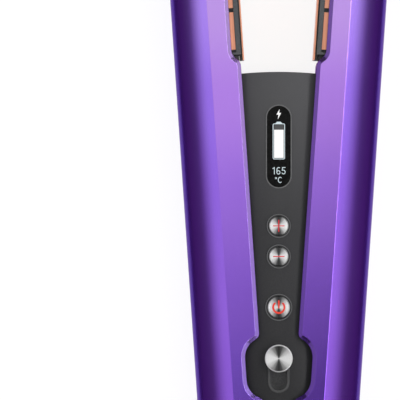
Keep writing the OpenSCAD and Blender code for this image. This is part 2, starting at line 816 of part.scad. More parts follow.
module end_cap() {
  color([0.04, 0.04, 0.04]) at_hinge() difference() {
    intersection() {
      translate([0, tail_rise, 0]) sphere(cap_r, $fn = 128);
      tail_wedge(cap_angle);
      block([-far, -far, -flat_z], [far, far, flat_z]);
    }
    difference() {
      translate([0, tail_rise, 0]) sphere(cap_r - cap_wall, $fn = 128);
      tail_wedge(core_angle);
    }
    cylinder(r = ring_r + seat, h = far, center = true, $fn = 96);
    bar_y(socket_r, -far, -cap_low + socket_depth);
  }
}

module charging_socket() {
  floor_y = -cap_low + socket_depth;
  color("gold") at_hinge() {
    bar_y(socket_r - 0.1, floor_y - 0.5, floor_y - 0.05);
    for (x = [-2.6, 0, 2.6]) translate([x, 0, 0]) bar_y(0.7, floor_y - 0.55, floor_y - 0.3);
  }
}

// Arms
module right_shell() color([0.52, 0.36, 0.8]) on_right() arm_shell();
module right_spine() color([0.12, 0.12, 0.13]) on_right() arm_spine(outer_lug_z);
module right_carrier() color([0.33, 0.33, 0.34]) on_right() arm_carrier();
module right_seal() color([0.05, 0.05, 0.05]) on_right() arm_seal();
module right_plate() color([0.91, 0.66, 0.55]) on_right() arm_plate();
module right_segments() color([0.91, 0.66, 0.55]) on_right() arm_segments();
module right_heater() color("white") on_right() arm_heater();
module right_sensor() color("ivory") on_right() arm_sensor();
module right_flex() color("peru") on_right() arm_flex();
module left_shell() color([0.52, 0.36, 0.8]) on_left() arm_shell();
module left_spine() color([0.12, 0.12, 0.13]) on_left() arm_spine(inner_lug_z);
module left_carrier() color([0.33, 0.33, 0.34]) on_left() arm_carrier();
module left_seal() color([0.05, 0.05, 0.05]) on_left() arm_seal();
module left_plate() color([0.91, 0.66, 0.55]) on_left() arm_plate();
module left_segments() color([0.91, 0.66, 0.55]) on_left() arm_segments();
module left_heater() color("white") on_left() arm_heater();
module left_sensor() color("ivory") on_left() arm_sensor();
module left_flex() color("peru") on_left() arm_flex();

// Buttons and lock
module plus_button() color("gainsboro") at_hinge() key_button(key_r, plus_y);
module minus_button() color("gainsboro") at_hinge() key_button(key_r, minus_y);
module power_button() color("gainsboro") at_hinge() key_button(power_r, power_y);

module lock_knob() {
  color("silver") at_hinge() translate([0, knob_y, knob_z]) rotate_extrude() polygon([
    [0, 0], [knob_r - 0.3, 0], [knob_r, 0.3], [knob_r, knob_h - 0.3], [knob_r - 0.3, knob_h],
    [knob_r - 0.6, knob_h], [0, knob_h - 0.35]]);
}

module lock_latch() {
  bar_x = wing_x + wing_t;
  color([0.15, 0.15, 0.15]) at_hinge() translate([0, knob_y, 0]) {
    translate([0, 0, bar_z + eps]) cylinder(r = stem_r, h = knob_z - bar_z - eps);
    block([-bar_x, -wing_l / 2, bar_z], [bar_x, wing_l / 2, bar_z + bar_t]);
    for (side = [-1, 1]) translate([side * (wing_x + wing_t / 2), 0, hook_z + hook_t + seat])
      block([-wing_t / 2, -wing_l / 2, 0], [wing_t / 2, wing_l / 2, bar_z + eps - hook_z - hook_t - seat]);
  }
}

// Charging lead
module magnet_head() {
  color("silver") at_hinge() {
    bar_y(head_r, recess_floor + 0.2, head_top);
    bar_y(neck_r, recess_floor - neck_l - collar_t, recess_floor + 0.2 + eps);
    bar_y(collar_r, recess_floor - neck_l - collar_t, recess_floor - neck_l);
  }
}

module swivel_boot() {
  color([0.1, 0.1, 0.1]) at_hinge() difference() {
    union() {
      turned_y() polygon([
        [0, boot_low], [boot_r, boot_low], [boot_r, boot_top - 2 * boot_chamfer],
        [boot_r - boot_chamfer, boot_top], [0, boot_top]]);
      hull() {
        bar_y(boot_r, boot_low, boot_low + 1, $fn = 32);
        translate([leg_end.x, leg_end.y, 0]) rotate([0, 0, -leg_angle]) bar_y(leg_r, 0, 0.5, $fn = 32);
      }
    }
    translate([0, tail_rise, 0]) sphere(seat_r, $fn = 128);
    bar_y(head_r + 0.2, recess_floor, 0);
    bar_y(neck_r + running, recess_floor - neck_l, 0);
    bar_y(collar_r + 0.2, recess_floor - neck_l - collar_t - 0.2, recess_floor - neck_l + 0.2);
  }
}

module strain_relief() {
  pitch = relief_l / ribs;
  steps = [[0.1, 0], [0.3, 1], [0.7, 1], [0.9, 0]];
  places = concat([0], [for (i = [0 : ribs - 1], s = steps) (i + s[0]) * pitch], [relief_l]);
  rises = concat([0], [for (i = [0 : ribs - 1], s = steps) s[1]], [0]);
  line = [for (s = places) let (q = relief_point(s)) [q.x, q.y, 0]];
  radii = [for (i = [0 : len(places) - 1])
    leg_r + (rib_end_r - leg_r) * places[i] / relief_l - rib_depth * (1 - rises[i])];
  color([0.1, 0.1, 0.1]) at_hinge() tube(line, radii, 12);
}

module cord_run() {
  color([0.08, 0.08, 0.08]) on_table() tube(run_route, [for (q = run_route) cord_d / 2], cord_sides);
}

module cord_coil() {
  apart = coil_rings / 2;
  gaps = [for (i = [0 : len(coil_line) - 1 - apart], j = [i + apart : len(coil_line) - 1])
    norm(coil_line[i] - coil_line[j])];
  echo(coil_least_gap_mm = min(gaps) - cord_d);
  color([0.08, 0.08, 0.08]) on_table() tube(coil_line, [for (q = coil_line) cord_d / 2], 6);
}

module cord_tail() {
  color([0.08, 0.08, 0.08]) on_table() tube(tail_route, [for (q = tail_route) cord_d / 2], cord_sides);
}

module adapter() {
  module rounded(l, w, r) {
    square([l - 2 * r, w], center = true);
    square([l, w - 2 * r], center = true);
    for (x = [-1, 1], y = [-1, 1]) translate([x * (l / 2 - r), y * (w / 2 - r)]) circle(r);
  }
  color([0.1, 0.1, 0.1]) on_table() translate([adapter_place.x, adapter_place.y, adapter_w / 2]) {
    translate([-adapter_t / 2, 0, 0]) rotate([90, 0, 90]) linear_extrude(adapter_t)
      rounded(adapter_l, adapter_w, adapter_corner);
    translate([adapter_t / 2 - 1, boss_y - adapter_place.y, 0]) rotate([90, 0, 90]) linear_extrude(boss_h + 1)
      rounded(boss_w, mains_pin_span + boss_w, boss_w / 2 - 0.1);
    translate([0, 1 - adapter_l / 2, 0]) rotate([90, 0, 0])
      cylinder(r1 = gland_r, r2 = cord_d / 2 + 0.6, h = gland_l + 1);
  }
}

module mains_pin(side) {
  color("silver") on_table()
    translate([adapter_place.x + adapter_t / 2 + boss_h, boss_y,
      adapter_w / 2 + side * mains_pin_span / 2])
    rotate([0, 90, 0]) cylinder(r = mains_pin_r, h = mains_pin_l);
}
module live_pin() mains_pin(1);
module neutral_pin() mains_pin(-1);

control_panel();
back_panel();
centre_frame();
display_bezel();
display_lens();
display_module();
main_board();
plus_bezel();
minus_bezel();
power_bezel();
plus_switch();
minus_switch();
power_switch();
slot_liner();
led_lens();
cell_1();
cell_2();
cell_3();
cell_4();
hinge_pin();
front_ring();
front_disc();
back_ring();
back_disc();
end_cap();
charging_socket();
right_shell();
right_spine();
right_carrier();
right_seal();
right_plate();
right_segments();
right_heater();
right_sensor();
right_flex();
left_shell();
left_spine();
left_carrier();
left_seal();
left_plate();
left_segments();
left_heater();
left_sensor();
left_flex();
plus_button();
minus_button();
power_button();
lock_knob();
lock_latch();
magnet_head();
swivel_boot();
strain_relief();
cord_run();
cord_coil();
cord_tail();
adapter();
live_pin();
neutral_pin();
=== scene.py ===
import json
import math

import bpy
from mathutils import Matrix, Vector


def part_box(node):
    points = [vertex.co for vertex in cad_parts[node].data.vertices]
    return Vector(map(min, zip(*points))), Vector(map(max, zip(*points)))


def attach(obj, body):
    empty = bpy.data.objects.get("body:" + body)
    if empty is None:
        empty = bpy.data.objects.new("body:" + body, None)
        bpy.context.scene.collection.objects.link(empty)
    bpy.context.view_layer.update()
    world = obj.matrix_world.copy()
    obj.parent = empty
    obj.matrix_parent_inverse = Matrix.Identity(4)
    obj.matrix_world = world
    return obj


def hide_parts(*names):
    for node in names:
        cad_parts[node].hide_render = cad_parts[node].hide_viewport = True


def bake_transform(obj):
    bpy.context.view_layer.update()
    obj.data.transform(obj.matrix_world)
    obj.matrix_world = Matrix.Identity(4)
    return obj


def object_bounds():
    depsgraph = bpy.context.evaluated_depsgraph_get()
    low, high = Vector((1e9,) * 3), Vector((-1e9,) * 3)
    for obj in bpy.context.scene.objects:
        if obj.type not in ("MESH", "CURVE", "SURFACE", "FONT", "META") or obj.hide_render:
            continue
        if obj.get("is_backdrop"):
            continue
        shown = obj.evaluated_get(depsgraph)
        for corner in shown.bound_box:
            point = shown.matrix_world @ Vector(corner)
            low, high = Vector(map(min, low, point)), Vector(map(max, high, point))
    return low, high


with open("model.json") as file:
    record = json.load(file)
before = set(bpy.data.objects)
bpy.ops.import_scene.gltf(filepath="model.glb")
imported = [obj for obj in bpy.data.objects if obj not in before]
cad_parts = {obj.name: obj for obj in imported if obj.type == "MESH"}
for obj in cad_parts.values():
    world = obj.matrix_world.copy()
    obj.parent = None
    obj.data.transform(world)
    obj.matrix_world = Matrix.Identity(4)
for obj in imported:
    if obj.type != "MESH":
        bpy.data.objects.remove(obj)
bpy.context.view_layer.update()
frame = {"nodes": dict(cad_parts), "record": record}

NODES = frame["nodes"]
MM = 0.001

# The hinge's place comes from the CAD. The sizes below repeat part.scad's, in millimetres,
# with Y counted from the hinge and Z from the table
PIN_LO, PIN_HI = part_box("hinge_pin")
HINGE_Y = (PIN_LO.y + PIN_HI.y) / 2
OPEN = math.radians(3.87)
MID_Z = 21.0
KNOB_Y = 69.7
BUTTON_Y = {"plus_button": 114.8, "minus_button": 104.4, "power_button": 87.1}


def above(x, y, z):
    """A point given in millimetres from the hinge and the table."""
    return Vector((x * MM, HINGE_Y + y * MM, z * MM))


# ---------------------------------------------------------------- camera
# Straight above with a very long lens: the photograph shows no perspective
VIEW_W = 0.136
VIEW_X, VIEW_Y = -0.0268, 0.1236
FOCUS_Z = 0.041
LENS, SENSOR = 1000.0, 36.0
cam_data = bpy.data.cameras.new("camera")
cam_data.lens = LENS
cam_data.sensor_width = SENSOR
cam = bpy.data.objects.new("camera", cam_data)
cam.location = (VIEW_X, HINGE_Y + VIEW_Y, FOCUS_Z + VIEW_W * LENS / SENSOR)
bpy.context.scene.collection.objects.link(cam)
bpy.context.scene.camera = cam
bpy.context.scene.view_settings.view_transform = "Standard"


# ---------------------------------------------------------------- materials
class Mat:
    """A node material round one Principled shader. Keywords are its sockets, with _ for a space."""

    def __init__(self, name, **sockets):
        self.m = bpy.data.materials.new(name)
        self.m.use_nodes = True
        self.t = self.m.node_tree
        self.t.nodes.clear()
        self.out = self.t.nodes.new("ShaderNodeOutputMaterial")
        self.b = self.t.nodes.new("ShaderNodeBsdfPrincipled")
        self.t.links.new(self.b.outputs[0], self.out.inputs[0])
        self.put(self.b, sockets)

    def put(self, node, sockets):
        for key, value in sockets.items():
            socket = node.inputs[key if isinstance(key, int) else key.replace("_", " ")]
            if isinstance(value, bpy.types.NodeSocket):
                self.t.links.new(value, socket)
            else:
                socket.default_value = value

    def add(self, kind, ins=None, **props):
        """A new node, with its inputs set or linked and its properties set."""
        n = self.t.nodes.new("ShaderNode" + kind)
        for key, value in props.items():
            setattr(n, key, value)
        self.put(n, ins or {})
        return n

    def coords(self, scale=(1, 1, 1)):
        c = self.add("TexCoord")
        return self.add("Mapping", {"Vector": c.outputs["Object"], "Scale": scale}).outputs[0]

    def noise(self, vector, scale, detail=4.0):
        n = self.add("TexNoise", {
            "Vector": vector, "Scale": scale, "Detail": detail, "Roughness": 0.55})
        return n.outputs["Fac"]

    def ramp(self, fac, stops):
        """A smooth run of colours, from (place, colour) pairs."""
        n = self.add("ValToRGB", {0: fac})
        e = n.color_ramp.elements
        n.color_ramp.interpolation = "EASE"
        while len(e) > 1:
            e.remove(e[-1])
        e[0].position, e[0].color = stops[0][0], (*stops[0][1], 1)
        for p, c in stops[1:]:
            e.new(p).color = (*c, 1)
        return n.outputs[0]

    def span(self, fac, lo, hi, to_lo=0.0, to_hi=1.0):
        """to_lo to to_hi as fac goes from lo to hi, and level beyond."""
        return self.add("MapRange", {0: fac, 1: lo, 2: hi, 3: to_lo, 4: to_hi}).outputs[0]

    def math(self, op, a, b=0.0):
        return self.add("Math", {0: a, 1: b}, operation=op).outputs[0]

    def axis(self, name):
        c = self.add("TexCoord")
        return self.add("SeparateXYZ", {0: c.outputs["Object"]}).outputs[name]

    def from_centre(self, centre):
        """The way from a centre in the plane of the table, and its length."""
        c = self.add("TexCoord").outputs["Object"]
        d = self.add("VectorMath", {0: c, 1: centre}, operation="SUBTRACT").outputs[0]
        flat = self.add("VectorMath", {0: d, 1: (1.0, 1.0, 0.0)}, operation="MULTIPLY").outputs[0]
        return flat, self.add("VectorMath", {0: flat}, operation="LENGTH").outputs["Value"]

    def bump(self, height, strength, distance):
        n = self.add("Bump", {"Height": height, "Strength": strength, "Distance": distance})
        self.put(self.b, {"Normal": n.outputs[0]})
        return n

    def mixed(self, fac, a, b, blend="MIX"):
        n = self.add("Mix", data_type="RGBA", blend_type=blend)
        for i, v in ((0, fac), (6, a), (7, b)):
            if isinstance(v, bpy.types.NodeSocket):
                self.t.links.new(v, n.inputs[i])
            else:
                n.inputs[i].default_value = v if i == 0 else (*v, 1)
        return n.outputs[2]


def srgb(r, g, b):
    """A colour written as screen values, 0 to 255, made linear."""
    def linear(c):
        return c / 12.92 if c < 10.3 / 255 else ((c + 0.055) / 1.055) ** 2.4
    return tuple(linear(c / 255) for c in (r, g, b))


def purple_paint():
    """Lacquer over metal, with painted light and shade: painted from darker blue-violet at the
    hinge to lighter orchid towards the tips, with painted shade down the sides and on the right
    arm's flat near the hinge."""
    m = Mat("purple_shell", Metallic=0.92, Roughness=0.25, Coat_Weight=0.12, Coat_Roughness=0.1)
    m.put(m.b, {"Specular Tint": (*srgb(150, 100, 200), 1)})
    # Painted light: the flats and sides run from darker blue-violet at the hinge to lighter orchid
    # towards the tips
    along = m.span(m.axis("Y"), HINGE_Y + 60 * MM, HINGE_Y + 190 * MM)
    flat = m.ramp(along, [
        (0.0, (0.25, 0.105, 0.76)), (0.22, (0.29, 0.122, 0.76)), (0.48, (0.335, 0.152, 0.76)),
        (0.75, (0.415, 0.205, 0.76)), (1.0, (0.49, 0.295, 0.77))])
    side = m.ramp(along, [
        (0.0, (0.265, 0.100, 0.69)), (0.25, (0.295, 0.122, 0.75)), (0.5, (0.295, 0.130, 0.79)),
        (0.75, (0.33, 0.165, 0.87)), (1.0, (0.43, 0.25, 0.95))])
    # How far the surface faces outward: 0 on the flats, near 0.5 on the sides, 1 at the edge
    slope = m.add("SeparateXYZ", {0: m.add("TexCoord").outputs["Normal"]}).outputs
    outward = m.math("MULTIPLY", slope["X"], m.math("SIGN", m.axis("X")))
    # Painted shade: the right arm's flat is painted deeper towards the hinge
    right = m.span(m.axis("X"), -0.1 * MM, 0.1 * MM)
    low = m.math("MULTIPLY", right, m.span(along, 0.5, 0.0))
    flat = m.mixed(m.math("MULTIPLY", low, 0.5), flat, (0.12, 0.035, 0.42))
    # Painted shade: deeper purple down the sides and darkest at the outer edges
    tone = m.mixed(m.span(outward, 0.25, 0.55), flat, side)
    tone = m.mixed(m.span(outward, 0.62, 0.84), tone, (0.27, 0.06, 0.74))
    tone = m.mixed(m.span(outward, 0.87, 0.97), tone, (0.13, 0.028, 0.40))
    # The chamfers along the inner edges: a painted highlight on the left arm, painted shade on the
    # right one
    inward = m.span(outward, -0.15, -0.45)
    edge = m.mixed(right, m.mixed(0.35, flat, (0.75, 0.60, 1.0)), (0.12, 0.05, 0.32))
    tone = m.mixed(m.math("MULTIPLY", inward, 0.8), tone, edge)
    flake = m.noise(m.coords(), 5200.0, 2.0)
    tone = m.mixed(m.span(flake, 0.35, 0.65, 0.0, 0.04), tone, srgb(230, 200, 255))
    m.put(m.b, {"Base Color": tone})
    m.put(m.b, {"Roughness": m.span(m.noise(m.coords(), 60.0), 0.3, 0.7, 0.24, 0.26)})
    # Orange peel, over creases rounded as lacquer rounds them
    grain = m.bump(m.noise(m.coords(), 2600.0, 3.0), 0.015, 0.02 * MM)
    worn = m.add("Bevel", {"Radius": 0.3 * MM}, samples=6).outputs[0]
    m.put(grain, {"Normal": worn})
    m.put(m.b, {"Coat Normal": worn})
    return m.m


def panel_paint():
    """Soft-touch coating with a very fine spark-eroded grain, its grey painted lighter towards the
    plates as painted light.
    """
    m = Mat("panel_grey", Roughness=0.5, Specular_IOR_Level=0.3)
    # Painted light: darker near the hinge, lighter towards the plates
    along = m.span(m.axis("Y"), HINGE_Y + 55 * MM, HINGE_Y + 168 * MM)
    tone = m.ramp(along, [
        (0.0, srgb(22, 22, 24)), (0.45, srgb(36, 36, 38)), (1.0, srgb(64, 64, 66))])
    grain = m.noise(m.coords(), 3400.0, 2.0)
    tone = m.mixed(m.span(grain, 0.3, 0.7, 0.0, 0.08), tone, srgb(100, 100, 102))
    m.put(m.b, {"Base Color": tone})
    m.put(m.b, {"Roughness": m.span(m.noise(m.coords(), 300.0), 0.3, 0.7, 0.46, 0.56)})
    m.bump(grain, 0.16, 0.04 * MM)
    return m.m


def moulded(name, colour, rough, grain=1800.0, depth=0.12, **more):
    """Moulded plastic or rubber: a fine grain, a little lighter on its crests."""
    m = Mat(name, Roughness=rough, **more)
    n = m.noise(m.coords(), grain, 3.0)
    light = tuple(min(1.0, c * 1.35 + 0.004) for c in colour)
    m.put(m.b, {"Base Color": m.mixed(m.span(n, 0.35, 0.65), colour, light)})
    blotch = m.noise(m.coords(), grain / 12)
    m.put(m.b, {"Roughness": m.span(blotch, 0.3, 0.7, rough - 0.04, rough + 0.05)})
    m.bump(n, depth, 0.05 * MM)
    return m.m


def brushed(name, colour, rough):
    """Metal brushed along Y."""
    m = Mat(name, Metallic=1.0, Roughness=rough)
    n = m.noise(m.coords((1500.0, 25.0, 1500.0)), 1.0)
    dark = tuple(c * 0.82 for c in colour)
    m.put(m.b, {"Base Color": m.mixed(m.span(n, 0.35, 0.65), dark, colour)})
    m.put(m.b, {"Roughness": m.span(n, 0.3, 0.7, rough - 0.05, rough + 0.08)})
    m.bump(n, 0.10, 0.03 * MM)
    return m.m


STEEL = srgb(250, 250, 250)
GROOVE = 0.11 * MM


def spun(name, centre, rim=1.0):
    """Turned metal: grooves round the centre, light and dark fans painted into its colour as
    painted reflection, and a painted highlight round its edge beyond the radius rim."""
    m = Mat(name, Metallic=0.6, Roughness=0.36, Anisotropic=0.9)
    flat, radius = m.from_centre(centre)
    radial = m.add("VectorMath", {0: flat}, operation="NORMALIZE").outputs[0]
    across = m.math("ABSOLUTE", m.add("SeparateXYZ", {0: radial}).outputs["X"])
    # Painted reflection: bright fans to the left and right, dark fans above and below
    painted_fans = m.ramp(across, [
        (0.0, srgb(54, 54, 55)), (0.22, srgb(78, 78, 79)), (0.5, srgb(152, 152, 152)),
        (0.78, srgb(206, 206, 206)), (1.0, srgb(234, 234, 234))])
    rings = m.add("TexNoise", {
        "W": m.math("DIVIDE", radius, GROOVE), "Scale": 1.0, "Detail": 3.0}, noise_dimensions="1D")
    rings = rings.outputs["Fac"]
    groove = m.mixed(m.span(rings, 0.3, 0.7), (0.8, 0.8, 0.8), (1.0, 1.0, 1.0))
    # Painted highlight: a bright ring beyond the radius rim
    painted_fans = m.mixed(m.span(radius, rim - 0.1 * MM, rim), painted_fans, srgb(236, 236, 236))
    steel = m.mixed(1.0, painted_fans, STEEL, "MULTIPLY")
    m.put(m.b, {"Base Color": m.mixed(1.0, steel, groove, "MULTIPLY")})
    m.put(m.b, {"Tangent": radial})
    m.bump(rings, 0.15, 0.01 * MM)
    return m.m


def ringed(name, centre, edge):
    """A black ring with a thin painted highlight line round its outer edge, beyond the radius edge.
    """
    m = Mat(name, Roughness=0.4)
    radius = m.from_centre(centre)[1]
    line = m.span(radius, edge - 0.05 * MM, edge + 0.05 * MM)
    m.put(m.b, {"Base Color": m.mixed(line, srgb(14, 14, 15), srgb(88, 88, 90))})
    m.put(m.b, {"Roughness": m.span(m.noise(m.coords(), 900.0), 0.3, 0.7, 0.36, 0.46)})
    m.bump(m.noise(m.coords(), 2400.0), 0.05, 0.02 * MM)
    return m.m


MATS = {
    "purple_shell": purple_paint(),
    "panel_grey": panel_paint(),
    "frame_black": moulded("frame_black", srgb(30, 30, 32), 0.55),
    "carrier_grey": moulded("carrier_grey", srgb(54, 55, 57), 0.42, 1400.0, 0.10),
    "seal_black": moulded("seal_black", srgb(12, 12, 13), 0.6),
    "copper": brushed("copper", srgb(236, 164, 134), 0.34),
    "spun_metal": spun("spun_metal", above(0, 0, 0)),
    "button_metal": moulded("button_metal", srgb(34, 34, 36), 0.4),
    "ring_black": moulded("ring_black", srgb(36, 36, 37), 0.42, 1200.0, 0.06),
    "cap_black": moulded(
        "cap_black", srgb(10, 10, 11), 0.16, 900.0, 0.02, Coat_Weight=0.6, Coat_Roughness=0.06),
    "glass": moulded("glass", srgb(2, 2, 2), 0.12, 900.0, 0.01, Specular_IOR_Level=0.1),
    "board": moulded("board", srgb(16, 22, 19), 0.45),
    "cell": moulded("cell", srgb(46, 120, 96), 0.35),
    "ceramic": moulded("ceramic", srgb(228, 226, 220), 0.5),
    "contacts": brushed("contacts", srgb(232, 190, 110), 0.25),
    "lead_black": moulded("lead_black", srgb(25, 25, 26), 0.42, 1500.0, 0.06),
    "adapter_black": moulded("adapter_black", srgb(28, 28, 29), 0.5, 1300.0, 0.22),
    "nickel": brushed("nickel", srgb(206, 204, 198), 0.22),
}


def light_lens():
    """The amber charging light."""
    m = Mat("light", Roughness=0.25)
    glow = m.noise(m.coords(), 900.0)
    m.put(m.b, {"Base Color": m.mixed(glow, srgb(255, 120, 10), srgb(255, 170, 40))})
    m.put(m.b, {"Emission Color": (*srgb(255, 150, 0), 1), "Emission Strength": 1.6})
    return m.m


MATS["light"] = light_lens()


def repaint(node, mat):
    """Gives a CAD node one material in place of what it had."""
    NODES[node].data.materials.clear()
    NODES[node].data.materials.append(mat)


for part in frame["record"]["subparts"]:
    repaint(part["node"], MATS[part["material_slot"]])

# Nodes whose look differs from their slot's
# The radius where the knob's painted bright edge starts, and how far inside the bezels' outer edge
# their painted highlight line lies
KNOB_RIM, BEZEL_HIGHLIGHT = 4.35 * MM, 0.28 * MM
for key, y in BUTTON_Y.items():
    bezel = key.replace("button", "bezel")
    lo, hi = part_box(bezel)
    repaint(key, spun(key + "_metal", above(0, y, 0)))
    repaint(bezel, ringed(key + "_ring", above(0, y, 0), (hi.x - lo.x) / 2 - BEZEL_HIGHLIGHT))
repaint("lock_knob", spun("lock_knob_metal", above(0, KNOB_Y, 0), rim=KNOB_RIM))
repaint("display_bezel", moulded("bezel_line", srgb(84, 84, 85), 0.4))
repaint("slot_liner", moulded("liner_grey", srgb(52, 52, 53), 0.4))
repaint("back_disc", MATS["spun_metal"])


# ---------------------------------------------------------------- making pieces
def mesh_piece(name, verts, faces, mat, body, smooth=True, sharp=None):
    """A new piece in the row frame. A body of None leaves what it rides on to the caller."""
    me = bpy.data.meshes.new(name)
    me.from_pydata([tuple(v) for v in verts], [], faces)
    me.validate()
    me.update()
    o = bpy.data.objects.new(name, me)
    bpy.context.scene.collection.objects.link(o)
    me.materials.append(mat)
    for p in me.polygons:
        p.use_smooth = smooth
    if smooth and sharp:
        me.set_sharp_from_angle(angle=math.radians(sharp))
    if body:
        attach(o, body)
    return o


def between(a, b, ta, tb, at):
    """What lies at a place on the straight line that has a at ta and b at tb."""
    return a * ((tb - at) / (tb - ta)) + b * ((at - ta) / (tb - ta))


def smooth_line(points, step):
    """A centripetal Catmull-Rom curve through points, about step apart."""
    p = [Vector(q) for q in points]
    p = [2 * p[0] - p[1], *p, 2 * p[-1] - p[-2]]
    out = []
    for i in range(1, len(p) - 2):
        near = p[i - 1:i + 3]
        t = [0.0]
        for a, b in zip(near, near[1:]):
            t.append(t[-1] + math.sqrt((b - a).length))
        n = max(1, round((near[2] - near[1]).length / step))
        for k in range(n):
            at = t[1] + (t[2] - t[1]) * k / n
            first = [between(near[j], near[j + 1], t[j], t[j + 1], at) for j in range(3)]
            second = [between(first[j], first[j + 1], t[j], t[j + 2], at) for j in range(2)]
            out.append(between(second[0], second[1], t[1], t[2], at))
    out.append(p[-2])
    return out


def tube(points, radius, sides):
    """Rings round a line, carried along it without twisting, with faces between and two ends."""
    n = len(points)
    verts, faces = [], []
    side = None
    for i in range(n):
        t = (points[min(i + 1, n - 1)] - points[max(i - 1, 0)]).normalized()
        if side is None:
            side = t.cross(Vector((0, 0, 1))).normalized()
        side = (side - t * side.dot(t)).normalized()
        up = side.cross(t)
        for k in range(sides):
            a = 2 * math.pi * k / sides
            verts.append(points[i] + radius * (math.cos(a) * side + math.sin(a) * up))
    for i in range(n - 1):
        for k in range(sides):
            a, b = i * sides + k, i * sides + (k + 1) % sides
            faces.append((a, b, b + sides, a + sides))
    faces.append(tuple(reversed(range(sides))))
    faces.append(tuple(range((n - 1) * sides, n * sides)))
    return verts, faces


# ---------------------------------------------------------------- display and button marks
# The photograph's scale in millimetres for each pixel, and where the axis and the hinge lie on it
PIXEL = 0.34
AXIS_PX, HINGE_PX = 279.0, 563.5


def seen(px, py):
    """Millimetres across and above the hinge for a point of the 400-wide picture."""
    return ((px - AXIS_PX) * PIXEL, (HINGE_PX - py) * PIXEL)


def arc(cx, cy, rx, ry, a0, a1, n=16):
    """Points of an ellipse from angle a0 to a1, in degrees."""
    turns = [math.radians(a0 + (a1 - a0) * i / n) for i in range(n + 1)]
    return [(cx + rx * math.cos(a), cy + ry * math.sin(a)) for a in turns]


class Ink:
    """Thin raised print: strokes and filled outlines in one mesh, in millimetres from the hinge."""

    def __init__(self, z, thick=0.03):
        self.v, self.f, self.z, self.t = [], [], z, thick

    def fill(self, outline):
        """A closed outline, run anticlockwise, as a thin plate."""
        n, k = len(outline), len(self.v)
        for z in (self.z, self.z + self.t):
            self.v += [above(x, y, z) for x, y in outline]
        self.f.append(tuple(range(k + n, k + 2 * n)))
        self.f += [(k + i, k + (i + 1) % n, k + n + (i + 1) % n, k + n + i) for i in range(n)]

    def stroke(self, line, width, closed=False):
        """A ribbon along a line, with round ends where it isn't closed."""
        p = [Vector(q) for q in line]
        n = len(p)
        left, right = [], []
        for i in range(n):
            a = p[i - 1] if i or closed else p[i]
            b = p[(i + 1) % n] if i < n - 1 or closed else p[i]
            came, goes = p[i] - a, b - p[i]
            ta = came.normalized() if came.length > 1e-6 else goes.normalized()
            tb = goes.normalized() if goes.length > 1e-6 else ta
            t = (ta + tb).normalized()
            s = Vector((-t.y, t.x)) * (width / 2 / max(0.5, t.dot(ta)))
            left.append(p[i] + s)
            right.append(p[i] - s)
        k = len(self.v)
        for q in left + right:
            self.v.append(above(q.x, q.y, self.z + self.t))
        for i in range(n if closed else n - 1):
            j = (i + 1) % n
            self.f.append((k + n + i, k + n + j, k + j, k + i))
        if not closed:
            for end, other in ((p[0], p[1]), (p[-1], p[-2])):
                d = math.degrees(math.atan2(end.y - other.y, end.x - other.x))
                self.fill(arc(end.x, end.y, width / 2, width / 2, d - 90, d + 90, 8))

    def piece(self, name, mat, body):
        return mesh_piece(name, self.v, self.f, mat, body, smooth=False)


def lit(name, colour, strength):
    """A lit display segment, a little uneven as such panels are."""
    m = Mat(name, Roughness=0.4)
    n = m.noise(m.coords(), 2600.0)
    dim = tuple(c * 0.9 for c in colour)
    m.put(m.b, {"Base Color": (0.02, 0.02, 0.02, 1), "Emission Color": m.mixed(n, dim, colour)})
    m.put(m.b, {"Emission Strength": strength})
    return m.m


def printed(name, colour):
    """Pad-printed ink."""
    m = Mat(name, Roughness=0.5)
    n = m.noise(m.coords(), 3000.0)
    m.put(m.b, {"Base Color": m.mixed(n, tuple(c * 0.85 for c in colour), colour)})
    m.bump(n, 0.1, 0.01 * MM)
    return m.m


# The top of the lens
DISPLAY_Z = 39.6
white = lit("display_white", srgb(255, 255, 255), 1.0)
blue = lit("display_blue", srgb(214, 230, 236), 0.95)

# Charging bolt
ink = Ink(DISPLAY_Z)
ink.fill([seen(*q) for q in (
    (279.3, 112.8), (281.4, 112.8), (278.0, 119.3),
    (278.7, 114.6), (276.7, 114.6), (279.8, 109.0))])
ink.piece("display_bolt", white, "chassis")

# Battery: a rounded frame with a terminal, and its charge below an unlit bar
west, south = seen(273.3, 158.9)
east, north = seen(284.8, 123.8)
middle = (west + east) / 2
corner, inset, frame_pen = 0.4, 0.33, 0.26
foot, top, foot_y, top_y = 1.25, 0.62, north + 0.08, north + 0.72


def level(low, high):
    """A bar inside the battery's frame."""
    return [(west + inset, low), (east - inset, low), (east - inset, high), (west + inset, high)]


ink = Ink(DISPLAY_Z)
ink.stroke([point for x, y, turn in (
    (east - corner, north - corner, 90), (east - corner, south + corner, 0),
    (west + corner, south + corner, -90), (west + corner, north - corner, 180))
    for point in arc(x, y, corner, corner, turn, turn - 90, 4)], frame_pen, closed=True)
ink.fill([
    (middle - foot, foot_y), (middle + foot, foot_y), (middle + top, top_y), (middle - top, top_y)])
ink.piece("display_battery", blue, "chassis")
ink = Ink(DISPLAY_Z)
ink.fill(level(south + 0.35, north - 2.0))
ink.piece("display_charge", white, "chassis")
ink = Ink(DISPLAY_Z)
ink.fill(level(north - 1.9, north - 0.3))
ink.piece("display_unlit", lit("display_unlit", srgb(46, 46, 48), 1.0), "chassis")

# "165", and a degree sign with a C
ink = Ink(DISPLAY_Z)
text_x, text_y = seen(272.8, 174.4)
PEN, TALL, BOWL_R, BOWL_X = 0.24, 2.48, 0.58, 0.64
DIGIT_X = (0, 1.35, 3.1)


def glyph(x, lines):
    """One digit, as lines from its lower left corner."""
    for line in lines:
        ink.stroke([(x + a, text_y + b) for a, b in line], PEN)


